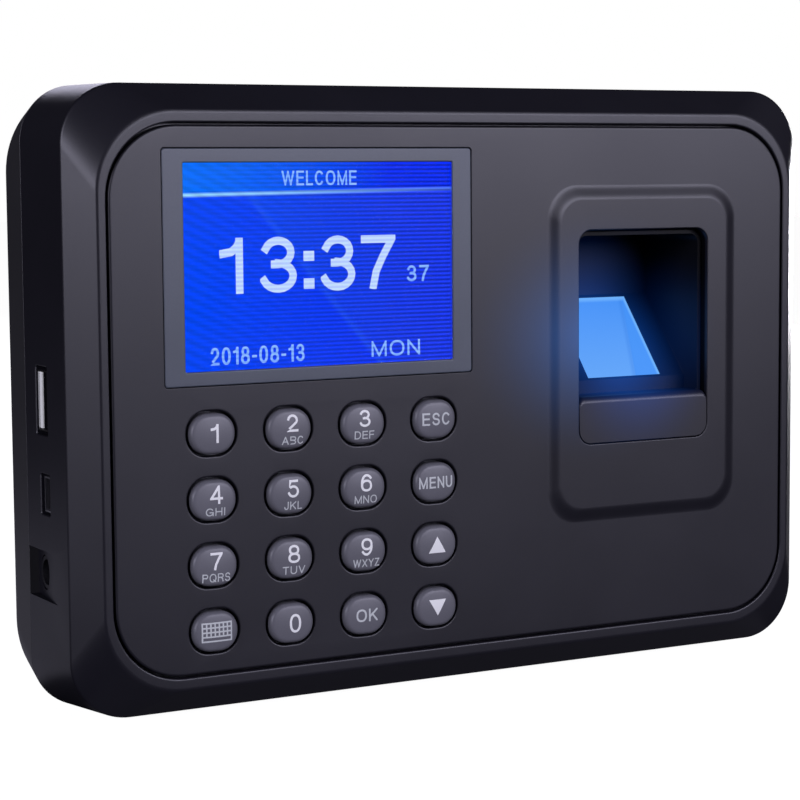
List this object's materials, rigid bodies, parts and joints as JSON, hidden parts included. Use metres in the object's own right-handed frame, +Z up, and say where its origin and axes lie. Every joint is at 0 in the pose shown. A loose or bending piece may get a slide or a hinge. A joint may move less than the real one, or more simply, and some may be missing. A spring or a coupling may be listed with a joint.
{
  "type": "fingerprint scanner terminal",
  "caption": "Fingerprint scanner terminal: bevelled plastic case with a colour screen, a sprung keypad, a lit finger well, side sockets and a wall plate.",
  "frame": {"origin": "on the wall plane, at the middle of the back of the case", "axes": "+X to the right seen from the front, +Y from the face to the wall, +Z up; the face looks along -Y"},
  "size_m": [0.193, 0.0464, 0.1381],
  "materials": {
    "case_plastic": "fine satin texture, charcoal",
    "frame_plastic": "fine satin texture, lighter grey",
    "screen_clear": "clear, polished",
    "screen_picture": "lit colour display",
    "tray_metal": "plain sheet",
    "ribbon_film": "amber film",
    "key_plastic": "satin, slightly lighter than the case",
    "keypad_rubber": "dull",
    "dome_steel": "bright sheet",
    "board_laminate": "green solder mask",
    "screw_steel": "zinc plated",
    "black_plastic": "black moulding",
    "white_plastic": "white moulding",
    "cell_steel": "bright",
    "connector_metal": "plated",
    "prism_glass": "lit from behind",
    "blue_light": "lit",
    "plate_steel": "thin grey paint"
  },
  "bodies": {
    "terminal": {"front_housing": "case_plastic", "face_panel": "case_plastic", "rear_housing": "case_plastic", "rear_screws": "screw_steel", "screen_frame": "frame_plastic", "screen_lens": "screen_clear", "lcd_panel": "screen_picture", "lcd_tray": "tray_metal", "lcd_ribbon": "ribbon_film", "keypad_mat": "keypad_rubber", "key_domes": "dome_steel", "main_board": "board_laminate", "board_screws": "screw_steel", "board_chips": "black_plastic", "buzzer": "black_plastic", "cell_holder": "black_plastic", "coin_cell": "cell_steel", "io_board": "board_laminate", "usb_shell": "connector_metal", "usb_tongue": "white_plastic", "mini_usb_shell": "connector_metal", "mini_usb_tongue": "black_plastic", "dc_jack": "black_plastic", "dc_pin": "connector_metal", "finger_guide": "case_plastic", "guide_screws": "screw_steel", "glass_prism": "prism_glass", "sensor_housing": "black_plastic", "light_board": "board_laminate", "sensor_lights": "blue_light", "camera_board": "board_laminate", "camera_lens": "black_plastic", "sensor_ribbon": "ribbon_film", "wall_plate": "plate_steel", "foot_screw": "screw_steel"},
    "key_1": {"key_1": "key_plastic"},
    "key_2": {"key_2": "key_plastic"},
    "key_3": {"key_3": "key_plastic"},
    "key_esc": {"key_esc": "key_plastic"},
    "key_4": {"key_4": "key_plastic"},
    "key_5": {"key_5": "key_plastic"},
    "key_6": {"key_6": "key_plastic"},
    "key_menu": {"key_menu": "key_plastic"},
    "key_7": {"key_7": "key_plastic"},
    "key_8": {"key_8": "key_plastic"},
    "key_9": {"key_9": "key_plastic"},
    "key_up": {"key_up": "key_plastic"},
    "key_input": {"key_input": "key_plastic"},
    "key_0": {"key_0": "key_plastic"},
    "key_ok": {"key_ok": "key_plastic"},
    "key_down": {"key_down": "key_plastic"}
  },
  "joints": [
    {"name": "key_1_press", "type": "slide", "parent": "terminal", "child": "key_1", "axis": [0, 1, 0], "range_m": [0, 0.0008], "stiffness_N_per_m": 350},
    {"name": "key_2_press", "type": "slide", "parent": "terminal", "child": "key_2", "axis": [0, 1, 0], "range_m": [0, 0.0008], "stiffness_N_per_m": 350},
    {"name": "key_3_press", "type": "slide", "parent": "terminal", "child": "key_3", "axis": [0, 1, 0], "range_m": [0, 0.0008], "stiffness_N_per_m": 350},
    {"name": "key_esc_press", "type": "slide", "parent": "terminal", "child": "key_esc", "axis": [0, 1, 0], "range_m": [0, 0.0008], "stiffness_N_per_m": 350},
    {"name": "key_4_press", "type": "slide", "parent": "terminal", "child": "key_4", "axis": [0, 1, 0], "range_m": [0, 0.0008], "stiffness_N_per_m": 350},
    {"name": "key_5_press", "type": "slide", "parent": "terminal", "child": "key_5", "axis": [0, 1, 0], "range_m": [0, 0.0008], "stiffness_N_per_m": 350},
    {"name": "key_6_press", "type": "slide", "parent": "terminal", "child": "key_6", "axis": [0, 1, 0], "range_m": [0, 0.0008], "stiffness_N_per_m": 350},
    {"name": "key_menu_press", "type": "slide", "parent": "terminal", "child": "key_menu", "axis": [0, 1, 0], "range_m": [0, 0.0008], "stiffness_N_per_m": 350},
    {"name": "key_7_press", "type": "slide", "parent": "terminal", "child": "key_7", "axis": [0, 1, 0], "range_m": [0, 0.0008], "stiffness_N_per_m": 350},
    {"name": "key_8_press", "type": "slide", "parent": "terminal", "child": "key_8", "axis": [0, 1, 0], "range_m": [0, 0.0008], "stiffness_N_per_m": 350},
    {"name": "key_9_press", "type": "slide", "parent": "terminal", "child": "key_9", "axis": [0, 1, 0], "range_m": [0, 0.0008], "stiffness_N_per_m": 350},
    {"name": "key_up_press", "type": "slide", "parent": "terminal", "child": "key_up", "axis": [0, 1, 0], "range_m": [0, 0.0008], "stiffness_N_per_m": 350},
    {"name": "key_input_press", "type": "slide", "parent": "terminal", "child": "key_input", "axis": [0, 1, 0], "range_m": [0, 0.0008], "stiffness_N_per_m": 350},
    {"name": "key_0_press", "type": "slide", "parent": "terminal", "child": "key_0", "axis": [0, 1, 0], "range_m": [0, 0.0008], "stiffness_N_per_m": 350},
    {"name": "key_ok_press", "type": "slide", "parent": "terminal", "child": "key_ok", "axis": [0, 1, 0], "range_m": [0, 0.0008], "stiffness_N_per_m": 350},
    {"name": "key_down_press", "type": "slide", "parent": "terminal", "child": "key_down", "axis": [0, 1, 0], "range_m": [0, 0.0008], "stiffness_N_per_m": 350}
  ]
}
